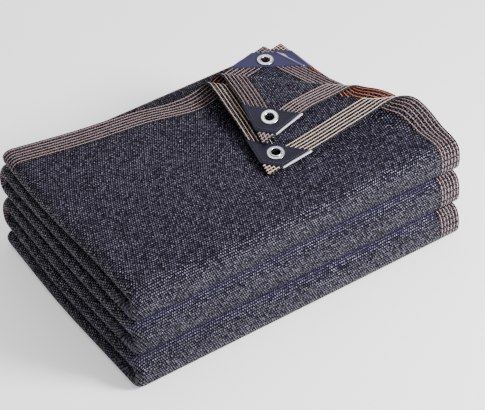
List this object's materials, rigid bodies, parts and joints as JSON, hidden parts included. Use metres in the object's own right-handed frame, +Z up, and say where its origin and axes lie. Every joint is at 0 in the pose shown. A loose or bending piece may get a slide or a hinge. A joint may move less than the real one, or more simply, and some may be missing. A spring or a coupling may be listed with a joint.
{
  "type": "shade cloth",
  "caption": "Dark knitted shade cloth with striped borders and eyeleted corner patches, folded flat into a thick bundle.",
  "frame": {"origin": "centre of the bundle's box, at the surface it lies on", "axes": "+X along the front bends towards the open side, +Y from the front bends to the back, +Z up"},
  "size_m": [0.524, 0.3556, 0.2035],
  "materials": {
    "knit": "knitted mesh of dull flat yarn with glinting tape yarn",
    "vinyl": "matt coated sheet",
    "eyelet_metal": "bright plated"
  },
  "bodies": {
    "root": {"folded_cloth": "knit", "patch_front_flap": "vinyl", "eyelet_front_flap": "eyelet_metal", "washer_front_flap": "eyelet_metal", "patch_rear_flap": "vinyl", "eyelet_rear_flap": "eyelet_metal", "washer_rear_flap": "eyelet_metal", "patch_upper_corner": "vinyl", "eyelet_upper_corner": "eyelet_metal", "washer_upper_corner": "eyelet_metal", "patch_lower_corner": "vinyl", "eyelet_lower_corner": "eyelet_metal", "washer_lower_corner": "eyelet_metal"}
  },
  "joints": []
}
